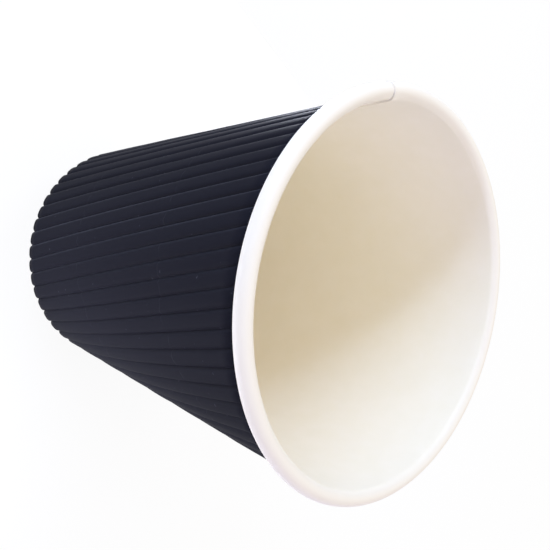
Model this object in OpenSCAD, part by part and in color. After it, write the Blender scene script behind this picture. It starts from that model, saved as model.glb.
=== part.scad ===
// Ripple-wall paper cup for hot drinks: a coated paper wall with a rolled rim and a hemmed foot,
// a recessed base disc held in the hem, and a corrugated paper sleeve wrapped round the outside.
// The cup stands on the table at z = 0 with its axis on Z. All sizes are in millimetres.

/* [Cup] */
// Diameter over the rolled rim
rim_d = 80; // [76:0.5:84]
// Height from the table to the top of the rim
cup_h = 90; // [84:0.5:98]
// Outside diameter of the wall where it stands on the table
base_d = 51.4; // [49:0.2:55]
// Thickness of the wall's coated board
wall_t = 0.35; // [0.3:0.05:0.45]

/* [Rolled rim] */
// Diameter of the roll
roll_d = 3.3; // [2.8:0.1:3.8]
// Turn of the roll from the inside of the wall to its cut edge, in degrees
roll_turn = 308; // [270:2:316]

/* [Foot] */
// Height of the hem that the wall's lower edge is folded up into
hem_h = 5.6; // [4:0.2:8]
// Rounding of the fold's two edges on the table
fold_r = 0.35; // [0.2:0.05:0.45]
// Thickness of the base disc's board
disc_t = 0.3; // [0.25:0.05:0.4]
// Inside radius of the bend between the base disc and its skirt
bend_r = 0.5; // [0.3:0.1:0.8]
// Gap left by the sealing film on each side of the base disc's skirt
seal_gap = 0.08; // [0.05:0.01:0.12]

/* [Side seam] */
// Angle round the cup where the wall's lap starts
seam_at = 192.6; // [0:0.2:359.8]
// Width of the lap at the rim
seam_w = 6.2; // [5:0.2:9]
// How far the pressed lap stands proud of the wall's inside
seam_t = 0.2; // [0.1:0.05:0.3]

/* [Sleeve] */
// Height of the sleeve's lower edge
sleeve_low = 1; // [0.6:0.1:3]
// Gap from the sleeve's upper edge to the underside of the roll
sleeve_drop = 1.2; // [0.8:0.1:4]
// Thickness of the sleeve's paper
sleeve_t = 0.25; // [0.2:0.05:0.35]
// Glue line between the wall and the bottoms of the flutes
glue_gap = 0.15; // [0.12:0.01:0.2]
// Distance from groove to groove on the flat sheet
flute_pitch = 3.36; // [3.2:0.02:4]
// Depth of a groove below the ridges
flute_depth = 0.6; // [0.4:0.05:0.8]
// Sharpness of the grooves, where 2 is a round wave
groove_sharp = 4; // [3:0.5:6]
// Shift of the nearest groove from the middle of the sheet
flute_shift = 1.26; // [0:0.02:3.2]

/* [Sleeve seam] */
// Width of the lap where the sheet's ends are glued
lap_w = 8; // [6:0.5:12]
// Width pressed flat beside the lap
flat_w = 2; // [1:0.5:5]
// Width over which the flutes rise to their full depth
rise_w = 7; // [6:0.5:12]
// Gap between the two ends in the lap
lap_gap = 0.25; // [0.2:0.05:0.4]
// Share of the flutes' depth that the upper end keeps over the lap
lap_share = 0.4; // [0.2:0.05:0.5]

/* [Hidden] */

paper_white = "#f4efe8";
sleeve_navy = "#2c2c37";
$fn = 96;

// The roll's centre, and the wall's taper: its outside is tangent to the inside of the roll
roll_r = roll_d / 2;
roll_in = roll_r - wall_t;
roll_at = [rim_d / 2 - roll_r, cup_h - roll_r];
foot_to_roll = roll_at - [base_d / 2, 0];
taper = atan2(foot_to_roll.x, foot_to_roll.y) - asin(roll_in / norm(foot_to_roll));
roll_start = 180 - taper;
roll_end = roll_start - roll_turn;
arc_step = 11;

// Layers of the foot, measured across the slope: wall, film, skirt, film and hem
skirt_out = wall_t + seal_gap;
skirt_in = skirt_out + disc_t;
hem_out = skirt_in + seal_gap;
hem_in = hem_out + wall_t;
disc_up = hem_h + seal_gap + bend_r;
disc_top = disc_up + disc_t;

// The lap inside the wall starts clear of the base disc and ends bluntly on the inner flank of the roll
seam_low = disc_top + seal_gap;
seam_flank = 50;
seam_turn = seam_w / (rim_d / 2) * 180 / PI;

// Distance down the axis from the table to the wall's apex. The flat sheet's slant distances are
// measured on the cone that touches the ridges, whose own apex lies further down.
apex_down = base_d / 2 / tan(taper);
ridge_slant = (glue_gap + sleeve_t + flute_depth) / tan(taper);
slant_low = slant_at(sleeve_low);
slant_high = slant_at(cup_h - roll_d - sleeve_drop);
mid_round = 2 * PI * (slant_low + slant_high) / 2 * sin(taper);

// Angles round the cup taken by the lap, the flat strips beside it and the rise of the flutes
lap_turn = lap_w / mid_round * 360;
flat_turn = flat_w / mid_round * 360;
rise_turn = rise_w / mid_round * 360;
lap_lift = sleeve_t + lap_gap;

// Half angles of the flat sheet, on the side that lies under the lap and on the side that lies over it
fan_under = 180 * sin(taper);
fan_over = (180 + lap_turn) * sin(taper);

// Places across a flute that carry a line of points, from groove to groove, and the rows up each line
flute_marks = [0, 0.075, 0.21, 0.5, 0.79, 0.925];
rows = 6;
corner_cut = 1;
least_step = 0.1;

function wall_at(z, across) = base_d / 2 + z * tan(taper) - across / cos(taper);
function arc(middle, r, from, to) =
    let (steps = max(2, ceil(abs(to - from) / arc_step)))
    [for (i = [0 : steps]) let (a = from + (to - from) * i / steps) middle + r * [cos(a), sin(a)]];

// A sheet of the wall's board from the foot's fold up the wall, round the roll, down again and into the hem
function wall_outline() =
    let (
        outer_fold = [wall_at(fold_r, fold_r), fold_r],
        inner_fold = [wall_at(fold_r, hem_in - fold_r), fold_r]
    )
    concat(
        arc(outer_fold, fold_r, -90, -taper),
        arc(roll_at, roll_in, roll_start, roll_end),
        arc(roll_at, roll_r, roll_end, roll_start),
        [[wall_at(wall_t, wall_t), wall_t], [wall_at(wall_t, hem_out), wall_t]],
        [[wall_at(hem_h, hem_out), hem_h], [wall_at(hem_h, hem_in), hem_h]],
        arc(inner_fold, fold_r, 180 - taper, 270)
    );

// The lap's proud strip on the inside of the wall, bent over the inner flank of the roll
function seam_outline() =
    concat(
        [[wall_at(seam_low, wall_t / 2), seam_low]],
        arc(roll_at, roll_r - wall_t / 2, roll_start, roll_start - seam_flank),
        arc(roll_at, roll_r + seam_t, roll_start - seam_flank, roll_start),
        [[wall_at(seam_low, wall_t + seam_t), seam_low]]
    );

// The base disc with its skirt turned down between the wall and the hem
function disc_outline() =
    let (
        skirt_low = wall_t + seal_gap,
        bend_z = disc_up - bend_r,
        bend_at = [wall_at(bend_z, skirt_in + bend_r), bend_z]
    )
    concat(
        [[wall_at(skirt_low, skirt_out), skirt_low]],
        arc(bend_at, bend_r + disc_t, -taper, 90),
        [[0, disc_top], [0, disc_up]],
        arc(bend_at, bend_r, 90, -taper),
        [[wall_at(skirt_low, skirt_in), skirt_low]]
    );

function slant_at(z) = (z + apex_down) / cos(taper) + ridge_slant;
function eased(x) = let (c = max(0, min(1, x))) c * c * (3 - 2 * c);

// A point at a slant distance, an angle round the cup and a distance out from the wall
function on_cup(slant, turn, out) =
    let (
        along = slant - ridge_slant,
        r = along * sin(taper) + out * cos(taper)
    )
    [r * cos(turn), r * sin(turn), along * cos(taper) - apex_down - out * sin(taper)];

// The flutes run straight and parallel on the flat sheet, so a line of points keeps its distance
// across the sheet from the middle line, and its angle round the cup changes as it climbs
function turn_of(across, slant) = 180 + asin(across / slant) / sin(taper);
function share_of(across) = let (f = (across - flute_shift) / flute_pitch) f - floor(f);
function side_of(f) = min(f, 1 - f);

// Height of the sheet over one flute, from 0 in the groove to 1 on the ridge, and its steepness
function ridge(f) = 1 - pow(1 - 2 * side_of(f), groove_sharp);
function steepness(f) =
    side_of(f) < 0.01 || side_of(f) > 0.49 ? 0 :
    sign(0.5 - f) * flute_depth * groove_sharp * pow(1 - 2 * side_of(f), groove_sharp - 1) * 2 / flute_pitch;

// Share of the flutes' depth left at an angle, as the sheet is pressed at the lap, and the lift of its upper end
function pressed(turn) =
    eased((turn - lap_turn - flat_turn) / rise_turn)
    * (lap_share + (1 - lap_share) * eased((360 - turn) / rise_turn));
function lifted(turn) = lap_lift * eased((turn - 360 + flat_turn + rise_turn) / rise_turn);

// Points on the outer and the inner skin of the sleeve's paper
function outer_point(across, slant) =
    let (turn = turn_of(across, slant))
    on_cup(slant, turn, glue_gap + sleeve_t + lifted(turn)
        + pressed(turn) * flute_depth * ridge(share_of(across)));
function inner_point(across, slant) =
    let (
        turn = turn_of(across, slant),
        lean = pressed(turn) * steepness(share_of(across)),
        reach = sqrt(1 + lean * lean),
        out = glue_gap + sleeve_t + lifted(turn) + pressed(turn) * flute_depth * ridge(share_of(across))
    )
    on_cup(slant, turn_of(across + sleeve_t * lean / reach, slant), out - sleeve_t / reach);

// Lines of points across the flat sheet, and the slant distance where each leaves the lower edge or a seam edge
function sheet_lines() =
    let (
        first = -(slant_high - corner_cut) * sin(fan_under),
        last = (slant_high - corner_cut) * sin(fan_over),
        from = floor(first / flute_pitch) - 1,
        to = ceil(last / flute_pitch) + 1
    )
    concat(
        [first],
        [for (i = [from : to], mark = flute_marks)
            let (across = flute_shift + (i + mark) * flute_pitch)
            if (across > first + least_step && across < last - least_step) across],
        [last]
    );
function start_of(across) =
    max(slant_low, across < 0 ? -across / sin(fan_under) : across / sin(fan_over));

// Rows up a line, at even steps of its angle round the cup
function row_slant(across, row) =
    let (low = 1 / start_of(across), high = 1 / slant_high)
    1 / (low + (high - low) * row / rows);

// Two triangles of a four-sided face, cut from its first corner or from its second
function from_first(a, b, c, d) = [[a, b, c], [a, c, d]];
function from_second(a, b, c, d) = [[b, c, d], [b, d, a]];

module cup_wall() {
    color(paper_white)
        union() {
            rotate_extrude()
                polygon(wall_outline());
            rotate([0, 0, seam_at])
                rotate_extrude(angle = seam_turn)
                    polygon(seam_outline());
        }
}

module base_disc() {
    color(paper_white)
        rotate_extrude()
            polygon(disc_outline());
}

module ripple_sleeve() {
    lines = sheet_lines();
    end = len(lines) - 1;
    skin = len(lines) * (rows + 1);
    function at(line, row) = line * (rows + 1) + row;
    outer = [for (across = lines, row = [0 : rows]) outer_point(across, row_slant(across, row))];
    inner = [for (across = lines, row = [0 : rows]) inner_point(across, row_slant(across, row))];
    outer_faces = [for (i = [0 : end - 1], j = [0 : rows - 1])
        each lines[i] < 0
            ? from_second(at(i, j), at(i, j + 1), at(i + 1, j + 1), at(i + 1, j))
            : from_first(at(i, j), at(i, j + 1), at(i + 1, j + 1), at(i + 1, j))];
    inner_faces = [for (face = outer_faces) [skin + face[2], skin + face[1], skin + face[0]]];
    edge_faces = [for (i = [0 : end - 1])
        each concat(
            from_first(at(i, 0), at(i + 1, 0), skin + at(i + 1, 0), skin + at(i, 0)),
            from_first(at(i + 1, rows), at(i, rows), skin + at(i, rows), skin + at(i + 1, rows))
        )];
    end_faces = [for (j = [0 : rows - 1])
        each concat(
            from_first(at(0, j + 1), at(0, j), skin + at(0, j), skin + at(0, j + 1)),
            from_first(at(end, j), at(end, j + 1), skin + at(end, j + 1), skin + at(end, j))
        )];
    color(sleeve_navy)
        polyhedron(
            points = concat(outer, inner),
            faces = concat(outer_faces, inner_faces, edge_faces, end_faces),
            convexity = 6
        );
}

cup_wall();
base_disc();
ripple_sleeve();
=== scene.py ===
from math import asin, atan2, ceil, cos, exp, floor, hypot, pi, radians, sin, sqrt, tan

import bmesh
import bpy
from mathutils import Matrix, Vector, noise


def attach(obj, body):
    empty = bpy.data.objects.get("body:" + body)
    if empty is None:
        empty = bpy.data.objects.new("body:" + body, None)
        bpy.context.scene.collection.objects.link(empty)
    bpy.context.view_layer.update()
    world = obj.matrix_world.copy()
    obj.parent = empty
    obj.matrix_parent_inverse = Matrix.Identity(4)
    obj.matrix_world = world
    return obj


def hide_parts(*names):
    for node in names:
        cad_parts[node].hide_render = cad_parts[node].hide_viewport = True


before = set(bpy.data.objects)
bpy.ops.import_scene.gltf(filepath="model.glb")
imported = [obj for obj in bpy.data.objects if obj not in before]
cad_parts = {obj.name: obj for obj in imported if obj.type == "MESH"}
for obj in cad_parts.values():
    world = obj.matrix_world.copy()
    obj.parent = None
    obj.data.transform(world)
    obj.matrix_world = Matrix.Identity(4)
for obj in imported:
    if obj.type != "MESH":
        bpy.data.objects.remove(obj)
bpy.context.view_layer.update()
scene = bpy.context.scene
scene.view_settings.view_transform = "Standard"
mm = 0.001


# sizes that the pieces share, in mm, as in the CAD
cup = {
    "rimRadius": 39.98,
    "height": 89.99,
    "footRadius": 25.7,
    "board": 0.35,
    "rollRadius": 1.65,
    "rollTurn": radians(308),
}
rollInside = cup["rollRadius"] - cup["board"]
rollR = cup["rimRadius"] - cup["rollRadius"]
rollZ = cup["height"] - cup["rollRadius"]
footToRoll = (rollR - cup["footRadius"], rollZ)
taper = atan2(*footToRoll) - asin(rollInside / hypot(*footToRoll))  # the wall's lean, tangent to the roll
rollStart = pi - taper
rollEnd = rollStart - cup["rollTurn"]


def wallAt(z, across):  # radius at a height, at a depth measured square to the wall's outside
    return cup["footRadius"] + z * tan(taper) - across / cos(taper)


def arc(middle, radius, start, end, steps):
    turns = [start + (end - start) * i / steps for i in range(steps + 1)]
    return [(middle[0] + radius * cos(a), middle[1] + radius * sin(a)) for a in turns]


def ease(x):
    x = max(0.0, min(1.0, x))
    return x * x * (3 - 2 * x)


def paint(hexColour):  # sRGB hex to linear
    parts = [int(hexColour[i:i + 2], 16) / 255 for i in (1, 3, 5)]
    return [p / 12.92 if p <= 0.04045 else ((p + 0.055) / 1.055) ** 2.4 for p in parts] + [1.0]


def addNode(tree, kind, settings={}, links={}):
    node = tree.nodes.new(kind)
    for name, value in settings.items():
        if isinstance(name, int) or name in node.inputs:
            node.inputs[name].default_value = value
        else:
            setattr(node, name, value)
    for name, socket in links.items():
        tree.links.new(socket, node.inputs[name])
    return node


def newMaterial(name):
    material = bpy.data.materials.new(name)
    material.use_nodes = True
    material.node_tree.nodes.clear()
    return material, material.node_tree


def finishPiece(name, bm, material, node, sharpAngle):
    mesh = bpy.data.meshes.new(name)
    bm.to_mesh(mesh)
    bm.free()
    mesh.shade_smooth()
    mesh.set_sharp_from_angle(angle=radians(sharpAngle))
    mesh.materials.append(material)
    piece = bpy.data.objects.new(name, mesh)
    scene.collection.objects.link(piece)
    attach(piece, "root")
    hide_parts(node)
    print(name, len(mesh.polygons), "faces")
    return piece


def spinProfile(bm, outline, sectors):  # a closed outline of (r, z) in mm, spun sector by sector round the axis
    ring = [bm.verts.new((r * mm, 0, z * mm)) for r, z in outline]
    lines = [bm.edges.new((a, b)) for a, b in zip(ring, ring[1:] + ring[:1])]
    bmesh.ops.rotate(bm, verts=ring, cent=(0, 0, 0), matrix=Matrix.Rotation(sectors[0][0], 3, "Z"))
    last = ring + lines
    for start, end, steps in sectors:
        spun = bmesh.ops.spin(bm, geom=last, axis=(0, 0, 1), cent=(0, 0, 0), dvec=(0, 0, 0),
                              angle=end - start, steps=steps)
        last = spun["geom_last"]
    bmesh.ops.remove_doubles(bm, verts=bm.verts, dist=0.002 * mm)
    bmesh.ops.recalc_face_normals(bm, faces=bm.faces)


# the camera, fitted to the rim's two ellipses, the foot and the flutes
camera = {
    "place": (-8.147, -124.154, 176.322),
    "right": (-0.11654, 0.68965, 0.71470),
    "down": (0.99227, 0.04998, 0.11358),
    "forward": (0.04261, 0.72242, -0.69014),
    "lens": 51.988,
}
cameraData = bpy.data.cameras.new("photoCamera")
cameraData.sensor_fit = "HORIZONTAL"
cameraData.sensor_width = 36
cameraData.lens = camera["lens"]
cameraData.clip_start = 0.01
cameraObject = bpy.data.objects.new("photoCamera", cameraData)
turned = Matrix((camera["right"], -Vector(camera["down"]), -Vector(camera["forward"]))).transposed()
cameraObject.matrix_world = Matrix.Translation(Vector(camera["place"]) * mm) @ turned.to_4x4()
scene.collection.objects.link(cameraObject)
scene.camera = cameraObject
print("camera lens", camera["lens"], "mm")


# Coated cup board: white paperboard with a thin film of polyethylene on its inside, which also shows on
# the roll. The eye sees warm white paper with a soft satin gloss and very faint clouds of fibre.
# The drink's side is painted lighter and creamier than the same film on the roll: painted warm light bouncing inside
# the cup.
board = {
    "roll": "#ebe4da",
    "light": "#f9f2e4",
    "cream": "#f7f0e0",
    # the lap's raw cut edge is grey, with painted shade in the gap beside it
    "cutEdgeAndGapShade": "#d2ccc4",
    "cloudSize": 5.0,
    "grainSize": 0.35,
    "roughness": (0.45, 0.55),
    "grainDepth": 0.004,
}
coatedBoard, tree = newMaterial("coatedCupBoard")
place = addNode(tree, "ShaderNodeTexCoord")
inMm = addNode(tree, "ShaderNodeVectorMath", {"operation": "SCALE", "Scale": 1 / mm}, {0: place.outputs["Object"]})
clouds = addNode(tree, "ShaderNodeTexNoise", {"Scale": 1 / board["cloudSize"], "Detail": 3.0, "Roughness": 0.6},
                 {"Vector": inMm.outputs[0]})
grain = addNode(tree, "ShaderNodeTexNoise", {"Scale": 1 / board["grainSize"], "Detail": 2.0},
                {"Vector": inMm.outputs[0]})
tone = addNode(tree, "ShaderNodeMapRange", {"From Min": 0.3, "From Max": 0.7}, {"Value": clouds.outputs["Fac"]})
film = addNode(tree, "ShaderNodeMix", {"data_type": "RGBA", 6: paint(board["light"]), 7: paint(board["cream"])},
               {0: tone.outputs[0]})
inside = addNode(tree, "ShaderNodeAttribute", {"attribute_name": "inside"})  # 1 on the drink's side, which carries the painted warm light, 0 on the roll
colour = addNode(tree, "ShaderNodeMix", {"data_type": "RGBA", 6: paint(board["roll"])},
                 {0: inside.outputs["Fac"], 7: film.outputs[2]})
satin = addNode(tree, "ShaderNodeMapRange",
                {"To Min": board["roughness"][0], "To Max": board["roughness"][1]}, {"Value": clouds.outputs["Fac"]})
relief = addNode(tree, "ShaderNodeBump", {"Strength": 0.35, "Distance": board["grainDepth"] * mm},
                 {"Height": grain.outputs["Fac"]})
edge = addNode(tree, "ShaderNodeAttribute", {"attribute_name": "cutEdgeAndGapShade"})  # 1 on the raw end of the lap and in the gap beside it, grey partly as painted shade
edgedAndShaded = addNode(tree, "ShaderNodeMix", {"data_type": "RGBA", 7: paint(board["cutEdgeAndGapShade"])},
                {0: edge.outputs["Fac"], 6: colour.outputs[2]})
shader = addNode(tree, "ShaderNodeBsdfPrincipled", {"IOR": 1.5, "Specular IOR Level": 0.35},
                 {"Base Color": edgedAndShaded.outputs[2], "Roughness": satin.outputs[0], "Normal": relief.outputs[0]})
addNode(tree, "ShaderNodeOutputMaterial", {}, {"Surface": shader.outputs[0]})


# Dyed ripple paper: uncoated kraft, dyed navy-black through and pressed into flutes. The eye sees a matt, nearly
# black blue-grey with short fibres along the flutes and two faint lines pressed across them. A highlight is painted
# on one edge of each groove, stronger on one side of the cup, and the grooves are painted paler to lift their shade.
ripple = {
    "grooveLightAndMark": "#26262e",
    "plain": "#1b1b23",
    "paintedHighlight": "#44444d",
    "fleck": "#4a4a55",
    "cloudSize": 4.0,
    "fibre": (0.3, 1.6),
    "fibreDepth": 0.03,
    "flecksPerMm": 0.9,
    "highlightShare": (0.55, 1.0),
    "markAt": (232.4, 266.3),
    "markWidth": 0.35,
    "markWave": 1.1,
    "markWavesPerMm": 0.22,
    "markBreaksPerMm": 0.35,
    "markShare": 0.6,
    "roughness": 0.62,
    "gloss": 0.03,
}
ripplePaper, tree = newMaterial("dyedRipplePaper")
# mm across and up the flat sheet, and 1 on the flutes' ridges
flat = addNode(tree, "ShaderNodeAttribute", {"attribute_name": "flatPlace"})
parts = addNode(tree, "ShaderNodeSeparateXYZ", {}, {0: flat.outputs["Vector"]})
sheet = addNode(tree, "ShaderNodeCombineXYZ", {}, {0: parts.outputs[0], 1: parts.outputs[1]})
clouds = addNode(tree, "ShaderNodeTexNoise", {"Scale": 1 / ripple["cloudSize"], "Detail": 4.0, "Roughness": 0.65},
                 {"Vector": sheet.outputs[0]})
along = addNode(tree, "ShaderNodeMapping", {"Scale": (1 / ripple["fibre"][0], 1 / ripple["fibre"][1], 1)},
                {"Vector": sheet.outputs[0]})
fibres = addNode(tree, "ShaderNodeTexNoise", {"Scale": 1.0, "Detail": 2.0}, {"Vector": along.outputs[0]})
mixed = addNode(tree, "ShaderNodeMath", {"operation": "MULTIPLY_ADD", 1: 0.5},
                {0: fibres.outputs["Fac"], 2: clouds.outputs["Fac"]})
tone = addNode(tree, "ShaderNodeMapRange", {"From Min": 0.5, "From Max": 1.0}, {"Value": mixed.outputs[0]})
# painted light: the grooves get a paler colour that lifts their shade, fading out onto the ridges
grooveLightFade = addNode(tree, "ShaderNodeMapRange", {"From Min": 0.1, "From Max": 0.5}, {"Value": parts.outputs[2]})
base = addNode(tree, "ShaderNodeMix", {"data_type": "RGBA", 6: paint(ripple["grooveLightAndMark"]), 7: paint(ripple["plain"])},
               {0: grooveLightFade.outputs[0]})
lipHighlight = addNode(tree, "ShaderNodeAttribute", {"attribute_name": "lipHighlight"})  # 1 on one edge of each groove, where the highlight is painted
highlightTone = addNode(tree, "ShaderNodeMapRange",
              {"To Min": ripple["highlightShare"][0], "To Max": ripple["highlightShare"][1]}, {"Value": tone.outputs[0]})
highlightMask = addNode(tree, "ShaderNodeMath", {"operation": "MULTIPLY"}, {0: highlightTone.outputs[0], 1: lipHighlight.outputs["Fac"]})
highlighted = addNode(tree, "ShaderNodeMix", {"data_type": "RGBA", 7: paint(ripple["paintedHighlight"])},
               {0: highlightMask.outputs[0], 6: base.outputs[2]})
specks = addNode(tree, "ShaderNodeTexNoise", {"Scale": ripple["flecksPerMm"], "Detail": 1.0},
                 {"Vector": sheet.outputs[0]})
speckShare = addNode(tree, "ShaderNodeMapRange", {"From Min": 0.74, "From Max": 0.8, "To Max": 0.5},
                     {"Value": specks.outputs["Fac"]})
flecked = addNode(tree, "ShaderNodeMix", {"data_type": "RGBA", 7: paint(ripple["fleck"])},
                  {0: speckShare.outputs[0], 6: highlighted.outputs[2]})

# two lines pressed across the flutes, wavy and broken
wave = addNode(tree, "ShaderNodeTexNoise",
               {"noise_dimensions": "1D", "Scale": ripple["markWavesPerMm"], "Detail": 2.0}, {"W": parts.outputs[0]})
wavy = addNode(tree, "ShaderNodeMath", {"operation": "MULTIPLY_ADD", 1: 2 * ripple["markWave"]},
               {0: wave.outputs["Fac"], 2: parts.outputs[1]})
lines = []
for height in ripple["markAt"]:
    away = addNode(tree, "ShaderNodeMath", {"operation": "SUBTRACT", 1: height + ripple["markWave"]},
                   {0: wavy.outputs[0]})
    size = addNode(tree, "ShaderNodeMath", {"operation": "ABSOLUTE"}, {0: away.outputs[0]})
    lines.append(addNode(tree, "ShaderNodeMapRange",
                         {"interpolation_type": "SMOOTHSTEP", "From Max": ripple["markWidth"],
                          "To Min": 1.0, "To Max": 0.0}, {"Value": size.outputs[0]}))
both = addNode(tree, "ShaderNodeMath", {"operation": "MAXIMUM"}, {0: lines[0].outputs[0], 1: lines[1].outputs[0]})
broken = addNode(tree, "ShaderNodeTexNoise",
                 {"noise_dimensions": "1D", "Scale": ripple["markBreaksPerMm"], "Detail": 1.0},
                 {"W": parts.outputs[0]})
keptShare = addNode(tree, "ShaderNodeMapRange", {"From Min": 0.35, "From Max": 0.6},
                    {"Value": broken.outputs["Fac"]})
marks = addNode(tree, "ShaderNodeMath", {"operation": "MULTIPLY"}, {0: both.outputs[0], 1: keptShare.outputs[0]})
markShare = addNode(tree, "ShaderNodeMath", {"operation": "MULTIPLY", 1: ripple["markShare"]}, {0: marks.outputs[0]})
marked = addNode(tree, "ShaderNodeMix", {"data_type": "RGBA", 7: paint(ripple["grooveLightAndMark"])},
                 {0: markShare.outputs[0], 6: flecked.outputs[2]})
height = addNode(tree, "ShaderNodeMath", {"operation": "MULTIPLY_ADD", 1: -2.0},
                 {0: marks.outputs[0], 2: fibres.outputs["Fac"]})
relief = addNode(tree, "ShaderNodeBump", {"Strength": 0.6, "Distance": ripple["fibreDepth"] * mm},
                 {"Height": height.outputs[0]})
shader = addNode(tree, "ShaderNodeBsdfPrincipled",
                 {"Roughness": ripple["roughness"], "IOR": 1.45, "Specular IOR Level": ripple["gloss"]},
                 {"Base Color": marked.outputs[2], "Normal": relief.outputs[0]})
addNode(tree, "ShaderNodeOutputMaterial", {}, {"Surface": shader.outputs[0]})


# the cup's wall: one blank of board from the fold at the foot up to the roll, with the side seam's lap inside
wall = {
    "fold": 0.35,
    "hemHeight": 5.6,
    "hemOut": 0.81,
    "hemIn": 1.16,
    "seamAt": radians(192.6),
    "seamReach": 9.0,
    "lapWidth": 7.0,
    "lapProud": 0.28,
    "lapLow": 6.6,
    "lapLowFade": 1.5,
    "rollStep": 0.2,
    "rollStepFrom": 0.1,
    "rollStepRise": 1.5,
    "rollFade": 8.0,
    "rollEndFade": 0.8,
    "gapWidth": 0.11,
    "gapDepth": 0.07,
    "edgeShadeEnd": 3.1,
    "edgeShadeEndFade": 1.9,
    "edgeShadeLow": 82.5,
    "edgeShadeLowFade": 4.5,
    "edgeShadeInside": 0.6,
    "filmFade": 1.6,
    "knurls": 120,
    "knurlDepth": 0.12,
    "knurlBand": (1.5, 5.0),
    "near": 0.01,
}


def wallOutline():
    fold, board = wall["fold"], cup["board"]
    roll = (rollR, rollZ)
    outside = [(wallAt(z, 0), z) for z in (3, 10, 30, 50, 70, 80, 85)]
    inside = [(wallAt(z, board), z) for z in (86, 84, 80, 70, 55, 40, 25, 15, 9, 7.5, 6.6, 5.6, 3)]
    return (arc((wallAt(fold, fold), fold), fold, -pi / 2, -taper, 6) + outside
            + arc(roll, rollInside, rollStart, rollEnd, 44)
            + arc(roll, cup["rollRadius"], rollEnd, rollStart, 64)
            + inside
            + [(wallAt(board, board), board), (wallAt(board, wall["hemOut"]), board)]
            + [(wallAt(wall["hemHeight"], wall["hemOut"]), wall["hemHeight"])]
            + [(wallAt(z, wall["hemIn"]), z) for z in (5.6, 5.1, 4.9, 1.6, 1.4)]
            + arc((wallAt(fold, wall["hemIn"] - fold), fold), fold, pi - taper, 3 * pi / 2, 6))


# how far the coated face stands up at x mm round from the lap's edge and v mm up over the roll
def seamLift(x, v):
    overRoll = ease((v - wall["rollStepFrom"]) / wall["rollStepRise"])
    if x < 0.02:  # the end of the blank that lies over
        return wall["lapProud"] * (1 - overRoll) * ease(1 + x / wall["lapWidth"])
    gap = wall["gapDepth"] * exp(-((x - wall["gapWidth"]) / wall["gapWidth"]) ** 2)
    return -wall["rollStep"] * overRoll * ease(1 - x / wall["rollFade"]) - gap


bm = bmesh.new()
seam = wall["seamAt"]
insideLayer = bm.verts.layers.float.new("inside")
edgeShadeLayer = bm.verts.layers.float.new("cutEdgeAndGapShade")
beside, wide = radians(1.2), radians(13.5)
coarseFrom = seam + wide
slack = 0.01  # radians, keeps the roll's first points at its start
spinProfile(bm, wallOutline(), [
    (seam - wide, seam - beside, 26),
    (seam - beside, seam + beside, 18),
    (seam + beside, coarseFrom, 26),
    (coarseFrom, seam - wide + 2 * pi, 222),
])
for vert in bm.verts:
    r, z, turn = hypot(vert.co.x, vert.co.y) / mm, vert.co.z / mm, atan2(vert.co.y, vert.co.x)
    outward = Vector((vert.co.x, vert.co.y, 0)).normalized()
    fromSeam = (turn - seam + pi) % (2 * pi) - pi
    spoke, rise = r - rollR, z - rollZ
    onRoll = abs(hypot(spoke, rise) - cup["rollRadius"]) < wall["near"]
    onInside = 6 < z < rollZ and abs(r - wallAt(z, cup["board"])) < wall["near"]
    swept = (rollStart - atan2(rise, spoke) + slack) % (2 * pi) - slack
    v = swept * cup["rollRadius"] if onRoll else 0.0
    # the painted warm light of the drink's side fades out a little way onto the roll
    vert[insideLayer] = ease(1 - v / wall["filmFade"]) if onRoll or onInside else 0.0
    if (onRoll or onInside) and abs(fromSeam) * r < wall["seamReach"]:
        lift = seamLift(fromSeam * r, v)
        # grey of the raw cut edge, centred in the gap beside the lap, partly painted shade in that gap
        vert[edgeShadeLayer] = exp(-((fromSeam * r / wall["gapWidth"] - 1) ** 2))
        if onRoll:
            lift *= ease((cup["rollTurn"] - swept) / wall["rollEndFade"])
            vert[edgeShadeLayer] *= ease((wall["edgeShadeEnd"] - v) / wall["edgeShadeEndFade"])
            normal = outward * (spoke / cup["rollRadius"]) + Vector((0, 0, rise / cup["rollRadius"]))
        else:
            lift *= ease((z - wall["lapLow"]) / wall["lapLowFade"])
            vert[edgeShadeLayer] *= wall["edgeShadeInside"] * ease((z - wall["edgeShadeLow"]) / wall["edgeShadeLowFade"])
            normal = outward * -cos(taper) + Vector((0, 0, sin(taper)))
        vert.co += normal * lift * mm
    elif (wall["knurlBand"][0] < z < wall["knurlBand"][1]
          and abs(r - wallAt(z, wall["hemIn"])) < wall["near"]):  # the sealing tool's knurls in the hem
        vert.co -= outward * wall["knurlDepth"] * mm * (0.5 + 0.5 * cos(wall["knurls"] * (turn - coarseFrom)))
finishPiece("coated_cup_wall", bm, coatedBoard, "cup_wall", 38)


# the base: a disc with its edge turned down between the wall and the hem
disc = {
    "board": 0.3,
    "bend": 0.5,
    "under": 6.18,
    "skirtLow": 0.43,
    "skirtOut": 0.43,
    "skirtIn": 0.73,
    "filmFrom": 0.1,
    "hub": 0.4,
}
bendZ = disc["under"] - disc["bend"]
bendAt = (wallAt(bendZ, disc["skirtIn"] + disc["bend"]), bendZ)
across = [bendAt[0] * i / 6 for i in (5, 4, 3, 2, 1)]
bm = bmesh.new()
hub = disc["hub"]  # a small ring at the middle, closed below
outline = ([(wallAt(disc["skirtLow"], disc["skirtOut"]), disc["skirtLow"])]
           + arc(bendAt, disc["bend"] + disc["board"], -taper, pi / 2, 10)
           + [(r, disc["under"] + disc["board"]) for r in across + [hub]]
           + [(r, disc["under"]) for r in [hub] + across[::-1]]
           + arc(bendAt, disc["bend"], pi / 2, -taper, 8)
           + [(wallAt(disc["skirtLow"], disc["skirtIn"]), disc["skirtLow"])])
spinProfile(bm, outline, [(0.0, 2 * pi, 180)])
plug = [f for f in bm.faces if all(abs(hypot(v.co.x, v.co.y) - hub * mm) < 1e-7 for v in f.verts)]
bmesh.ops.delete(bm, geom=plug, context="FACES")
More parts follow.
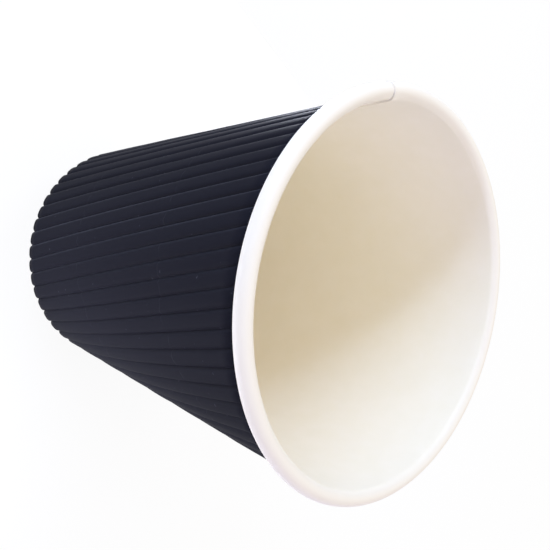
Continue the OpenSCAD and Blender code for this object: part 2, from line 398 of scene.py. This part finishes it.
bmesh.ops.holes_fill(bm, edges=[e for e in bm.edges if e.is_boundary], sides=0)
bmesh.ops.recalc_face_normals(bm, faces=bm.faces)
insideLayer = bm.verts.layers.float.new("inside")
for vert in bm.verts:
    # the top of the base gets the painted warm light of the drink's side
    vert[insideLayer] = 1.0 if vert.co.z > (disc["under"] + disc["filmFrom"]) * mm else 0.0
finishPiece("cup_base", bm, coatedBoard, "base_disc", 38)


# the sleeve: a flat sheet with straight parallel flutes, wrapped round the wall, its ends lapped at +X
sleeve = {
    "low": 1.0,
    "high": 85.5,
    "paper": 0.25,
    "glue": 0.15,
    "pitch": 3.36,
    "depth": 0.6,
    "sharp": 4.0,
    "shift": 1.26,
    "lipAt": 0.1,
    "lipWidth": 0.06,
    "highlightTo": 36.0,
    "highlightFade": 18.0,
    "highlightLoss": 0.9,
    "uneven": 0.1,
    "unevenSize": (3, 14),
    "unevenFrom": 3.7,
    "lap": 8.0,
    "flat": 2.0,
    "rise": 7.0,
    "lapGap": 0.25,
    "lapShare": 0.4,
    "corner": 1.0,
    "marks": (0, 0.022, 0.05, 0.085, 0.13, 0.19, 0.27, 0.38, 0.5),
    "rows": 30,
    "endGap": 0.06,
}
apexDown = cup["footRadius"] / tan(taper)
# the ridges' cone has a lower apex
ridgeSlant = (sleeve["glue"] + sleeve["paper"] + sleeve["depth"]) / tan(taper)
slantLow = (sleeve["low"] + apexDown) / cos(taper) + ridgeSlant
slantHigh = (sleeve["high"] + apexDown) / cos(taper) + ridgeSlant
midRound = pi * (slantLow + slantHigh) * sin(taper)
lapTurn, flatTurn, riseTurn = (2 * pi * sleeve[k] / midRound for k in ("lap", "flat", "rise"))
fanUnder, fanOver = pi * sin(taper), (pi + lapTurn) * sin(taper)


def sheetColumns():  # distances across the flat sheet that carry a line of points, close together at the grooves
    first = -(slantHigh - sleeve["corner"]) * sin(fanUnder)
    last = (slantHigh - sleeve["corner"]) * sin(fanOver)
    marks = sorted(set(sleeve["marks"]) | {1 - m for m in sleeve["marks"][1:]})
    flutes = range(floor(first / sleeve["pitch"]) - 1, ceil(last / sleeve["pitch"]) + 1)
    between = [sleeve["shift"] + (i + m) * sleeve["pitch"] for i in flutes for m in marks]
    gap = sleeve["endGap"]
    return [first] + [x for x in between if first + gap < x < last - gap] + [last]


def pressed(turn):  # share of the flutes' depth left beside the lap
    risen = ease((turn - lapTurn - flatTurn) / riseTurn)
    return risen * (sleeve["lapShare"] + (1 - sleeve["lapShare"]) * ease((2 * pi - turn) / riseTurn))


columns = sheetColumns()
rows = sleeve["rows"]
bm = bmesh.new()
flatLayer = bm.verts.layers.float_vector.new("flatPlace")
lipHighlightLayer = bm.verts.layers.float.new("lipHighlight")
wideSize, highSize = sleeve["unevenSize"]
bmesh.ops.create_grid(bm, x_segments=len(columns) - 1, y_segments=rows, size=1.0)
for vert in bm.verts:
    x = columns[round((vert.co.x + 1) / 2 * (len(columns) - 1))]
    row = round((vert.co.y + 1) / 2 * rows) / rows
    start = max(slantLow, -x / sin(fanUnder) if x < 0 else x / sin(fanOver))
    slant = 1 / (1 / start + (1 / slantHigh - 1 / start) * row)
    turn = pi + asin(x / slant) / sin(taper)
    up = sqrt(slant * slant - x * x)
    share = ((x - sleeve["shift"]) / sleeve["pitch"]) % 1
    ridge = 1 - abs(1 - 2 * min(share, 1 - share)) ** sleeve["sharp"]
    bulge = noise.noise((x / wideSize, up / highSize, sleeve["unevenFrom"]))
    uneven = 1 + sleeve["uneven"] * bulge - sleeve["uneven"] / 2
    lifted = (sleeve["paper"] + sleeve["lapGap"]) * ease((turn - 2 * pi + flatTurn + riseTurn) / riseTurn)
    out = sleeve["glue"] + sleeve["paper"] + lifted + pressed(turn) * sleeve["depth"] * ridge * uneven
    along = slant - ridgeSlant
    r = along * sin(taper) + out * cos(taper)
    vert[flatLayer] = (x, up, ridge * pressed(turn))
    # a highlight is painted on one edge of each groove, stronger on one side of the cup
    highlightSide = 1 - sleeve["highlightLoss"] * ease((x - sleeve["highlightTo"]) / sleeve["highlightFade"])
    vert[lipHighlightLayer] = pressed(turn) * highlightSide * exp(-((share - sleeve["lipAt"]) / sleeve["lipWidth"]) ** 2)
    vert.co = Vector((r * cos(turn), r * sin(turn), along * cos(taper) - apexDown - out * sin(taper))) * mm
bm.normal_update()
frontX = -0.033  # in metres, on the middle of the sheet, where its outside faces -X
middle = min(bm.faces, key=lambda f: abs(f.calc_center_median().x - frontX) + abs(f.calc_center_median().y))
if middle.normal.x > 0:
    bmesh.ops.reverse_faces(bm, faces=bm.faces)
sleevePiece = finishPiece("ripple_paper_sleeve", bm, ripplePaper, "ripple_sleeve", 75)
thickness = sleevePiece.modifiers.new("paper", "SOLIDIFY")
thickness.thickness = sleeve["paper"] * mm
thickness.offset = -1


# light: a warm white room, one soft lamp from the side that the shadow inside the cup points back to, the bounce of
# a white sheet from the other side, and two small cards low beside the foot that lift the dark sleeve
room = {"low": 0.0, "high": 1.445, "colour": "#fffaf1"}
lamps = {
    "softStrip": {"turn": 208.5, "rise": 22.8, "roll": 44.7, "away": 0.56, "size": (0.07, 0.494), "power": 2.6,
                  "colour": "#bad5ff", "aim": 0.06},
    "whiteSheet": {"turn": -20, "rise": 8, "roll": 0, "away": 0.6, "size": (0.6, 0.6), "power": 1.8,
                   "colour": "#b0b4ff", "aim": 0.06},
    "footCard": {"turn": -58, "rise": -8, "roll": 0, "away": 0.09, "size": (0.04, 0.04), "power": 0.05,
                 "colour": "#e8ecff", "aim": 0.022},
    "backCard": {"turn": 150, "rise": -14, "roll": 0, "away": 0.088, "size": (0.04, 0.04), "power": 0.12,
                 "colour": "#e8eeff", "aim": 0.04},
}
for name, lamp in lamps.items():
    lampData = bpy.data.lights.new(name, "AREA")
    lampData.shape = "RECTANGLE"
    lampData.size, lampData.size_y = lamp["size"]
    lampData.energy = lamp["power"]
    lampData.color = paint(lamp["colour"])[:3]
    lampObject = bpy.data.objects.new(name, lampData)
    turn, rise = radians(lamp["turn"]), radians(lamp["rise"])
    toLamp = Vector((cos(turn) * cos(rise), sin(turn) * cos(rise), sin(rise)))
    lampObject.location = Vector((0, 0, lamp["aim"])) + toLamp * lamp["away"]
    facing = toLamp.to_track_quat("Z", "Y").to_matrix() @ Matrix.Rotation(radians(lamp["roll"]), 3, "Z")
    lampObject.rotation_euler = facing.to_euler()
    lampObject.visible_camera = False
    scene.collection.objects.link(lampObject)
print("lamps", ", ".join(lamps))

world = bpy.data.worlds.new("whiteRoom")
world.use_nodes = True
world.node_tree.nodes.clear()
scene.world = world


def shownRays(tree):  # 1 for what the camera sees, straight or in a gloss or a glass
    path = addNode(tree, "ShaderNodeLightPath")
    first = addNode(tree, "ShaderNodeMath", {"operation": "MAXIMUM"},
                    {0: path.outputs["Is Camera Ray"], 1: path.outputs["Is Glossy Ray"]})
    return addNode(tree, "ShaderNodeMath", {"operation": "MAXIMUM"},
                   {0: first.outputs[0], 1: path.outputs["Is Transmission Ray"]})


tree = world.node_tree
way = addNode(tree, "ShaderNodeTexCoord")
ways = addNode(tree, "ShaderNodeSeparateXYZ", {}, {0: way.outputs["Generated"]})
brightness = addNode(tree, "ShaderNodeMapRange", {"To Min": room["low"], "To Max": room["high"]},
                     {"Value": ways.outputs[2]})  # brighter overhead
lighting = addNode(tree, "ShaderNodeBackground", {"Color": paint(room["colour"])},
                   {"Strength": brightness.outputs[0]})
backdrop = addNode(tree, "ShaderNodeBackground", {"Color": (1, 1, 1, 1), "Strength": 1.0})
mixed = addNode(tree, "ShaderNodeMixShader", {},
                {0: shownRays(tree).outputs[0], 1: lighting.outputs[0], 2: backdrop.outputs[0]})
addNode(tree, "ShaderNodeOutputWorld", {}, {"Surface": mixed.outputs[0]})

pale = {"paper": 0.88, "shown": 0.88}
paleFloor, tree = newMaterial("paleFloor")  # mostly white to the camera, with the cup's faint shadow
diffuse = addNode(tree, "ShaderNodeBsdfDiffuse", {"Color": (pale["paper"], pale["paper"], pale["paper"], 1)})
glow = addNode(tree, "ShaderNodeEmission", {"Color": (1, 1, 1, 1), "Strength": 1.0})
shown = addNode(tree, "ShaderNodeMath", {"operation": "MULTIPLY", 1: pale["shown"]},
                {0: shownRays(tree).outputs[0]})
mixed = addNode(tree, "ShaderNodeMixShader", {}, {0: shown.outputs[0], 1: diffuse.outputs[0], 2: glow.outputs[0]})
addNode(tree, "ShaderNodeOutputMaterial", {}, {"Surface": mixed.outputs[0]})
bm = bmesh.new()
bmesh.ops.create_grid(bm, x_segments=1, y_segments=1, size=3.0)
floorMesh = bpy.data.meshes.new("floor")
bm.to_mesh(floorMesh)
bm.free()
floorMesh.materials.append(paleFloor)
floorObject = bpy.data.objects.new("floor", floorMesh)
scene.collection.objects.link(floorObject)
